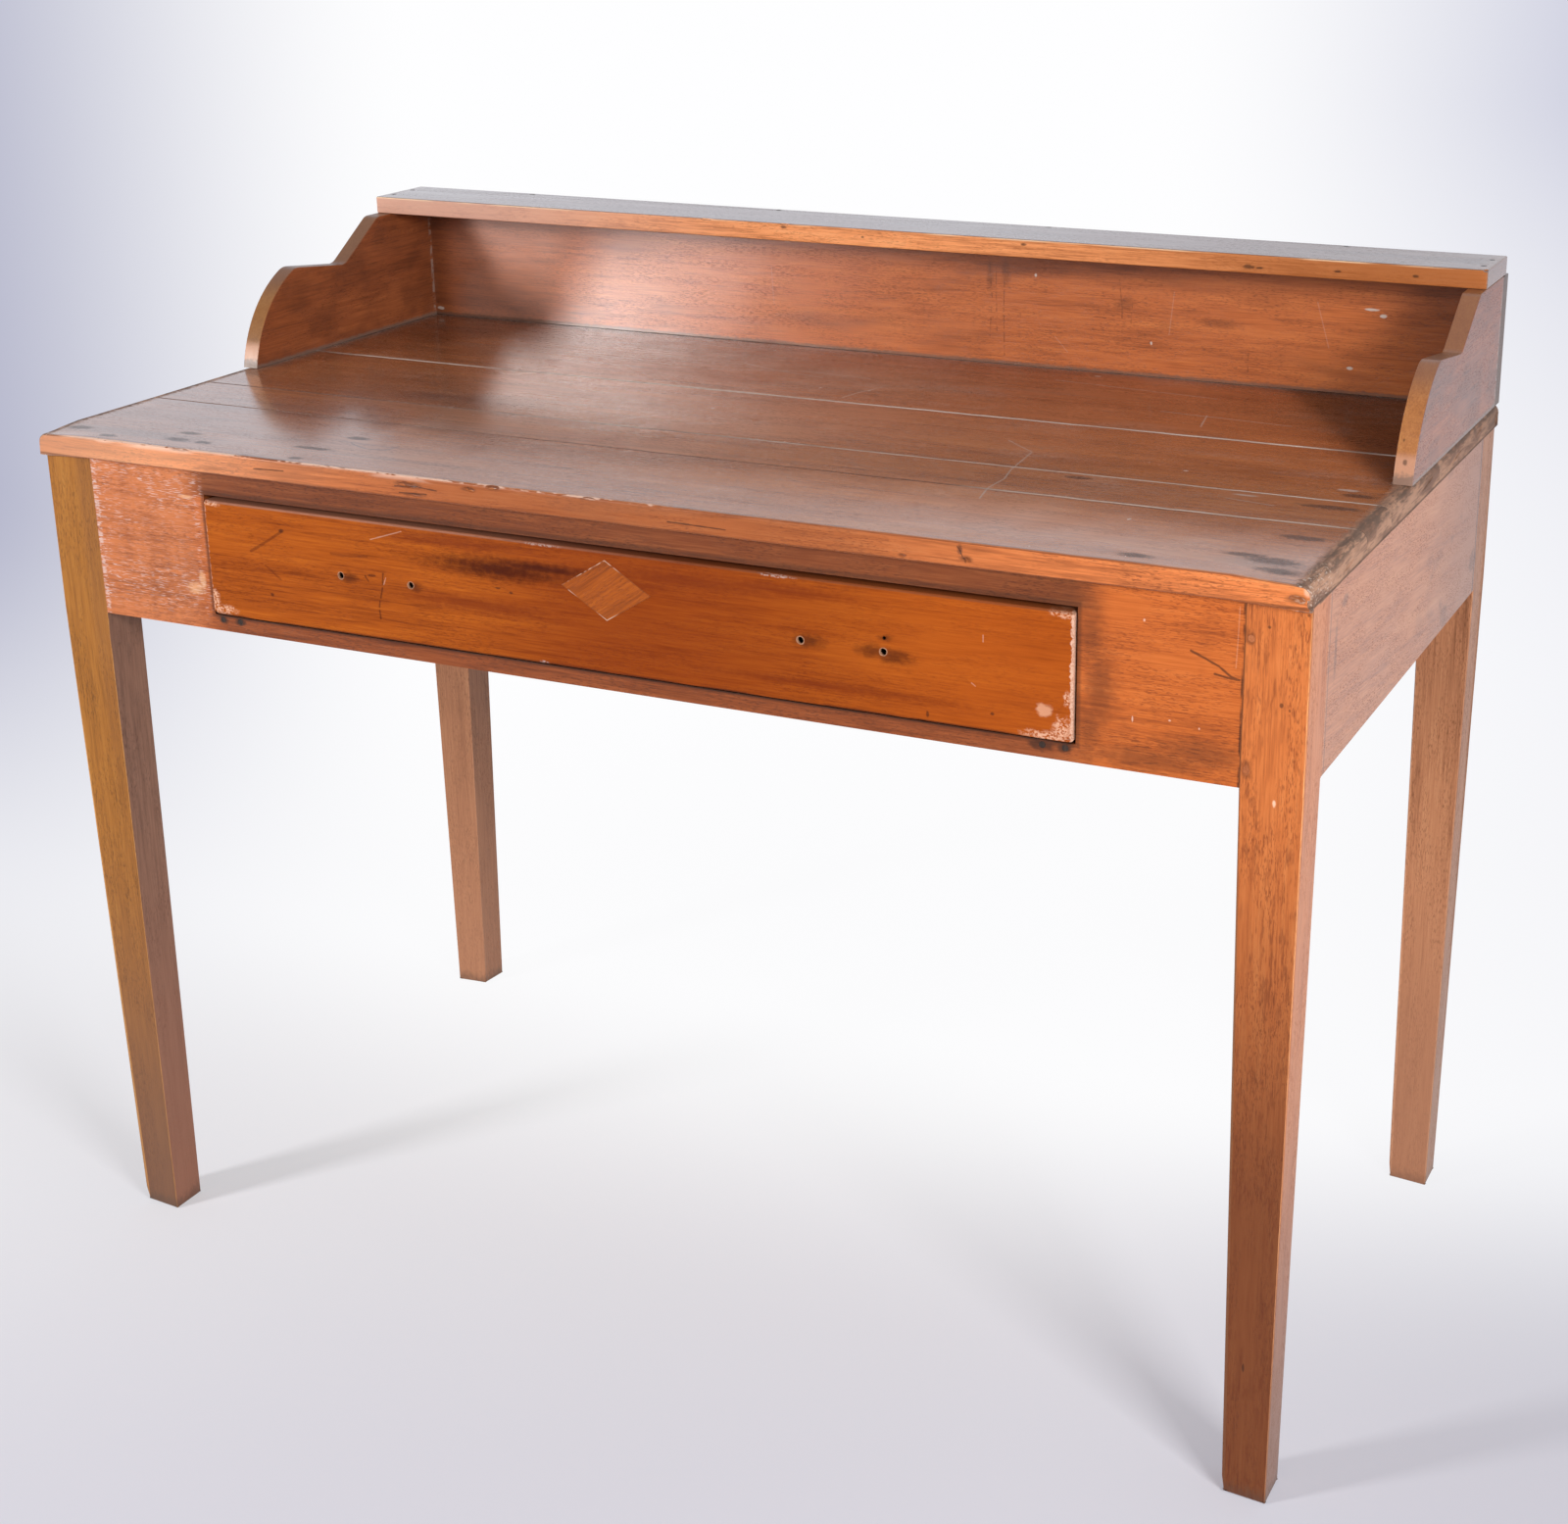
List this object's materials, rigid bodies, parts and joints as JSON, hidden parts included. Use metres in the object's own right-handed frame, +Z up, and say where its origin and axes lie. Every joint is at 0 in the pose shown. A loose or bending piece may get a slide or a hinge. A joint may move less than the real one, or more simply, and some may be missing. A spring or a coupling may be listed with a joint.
{
  "type": "sewing desk",
  "caption": "Wooden sewing desk on tapered legs, with a long drawer in its front and a low gallery with a narrow shelf along its back.",
  "frame": {"origin": "on the floor under the middle of the top", "axes": "+X to the sitter's right along the desk, +Y from the sitter to the back, +Z up"},
  "size_m": [1.127, 0.594, 0.8905],
  "materials": {
    "top_wood": "dark worn varnish with a grey sheen, end grain bare",
    "gallery_wood": "worn red-brown varnish, edges rubbed to ochre",
    "leg_wood": "thin worn varnish, ochre to orange brown",
    "apron_wood": "worn orange-brown varnish with pale filler in the pores",
    "peg_wood": "end grain, oiled",
    "drawer_wood": "glossy red-brown varnish, worn at the corners",
    "inlay_wood": "varnished flush with the drawer front",
    "bare_wood": "planed, unvarnished, darkened with age",
    "nail_iron": "dark, lightly rusted"
  },
  "bodies": {
    "desk_frame": {"top_board_front": "top_wood", "top_board_narrow": "top_wood", "top_board_middle": "top_wood", "top_board_back": "top_wood", "gallery_side_left": "gallery_wood", "gallery_side_right": "gallery_wood", "gallery_back": "gallery_wood", "gallery_shelf": "gallery_wood", "leg_front_left": "leg_wood", "leg_front_right": "leg_wood", "leg_back_left": "leg_wood", "leg_back_right": "leg_wood", "apron_front": "apron_wood", "apron_back": "apron_wood", "apron_left": "apron_wood", "apron_right": "apron_wood", "apron_pegs": "peg_wood", "drawer_runner_left": "bare_wood", "drawer_runner_right": "bare_wood", "drawer_kicker_left": "bare_wood", "drawer_kicker_right": "bare_wood", "drawer_guide_left": "bare_wood", "drawer_guide_right": "bare_wood", "drawer_stops": "bare_wood", "top_glue_blocks": "bare_wood", "shelf_nails": "nail_iron", "gallery_back_nails": "nail_iron", "gallery_foot_nails": "nail_iron", "runner_nails": "nail_iron"},
    "drawer": {"drawer_front": "drawer_wood", "drawer_inlay": "inlay_wood", "drawer_side_left": "bare_wood", "drawer_side_right": "bare_wood", "drawer_back": "bare_wood", "drawer_bottom": "bare_wood", "drawer_bottom_nails": "nail_iron"}
  },
  "joints": [
    {"name": "drawer_slide", "type": "slide", "parent": "desk_frame", "child": "drawer", "axis": [0, -1, 0], "range_m": [0, 0.36]}
  ]
}
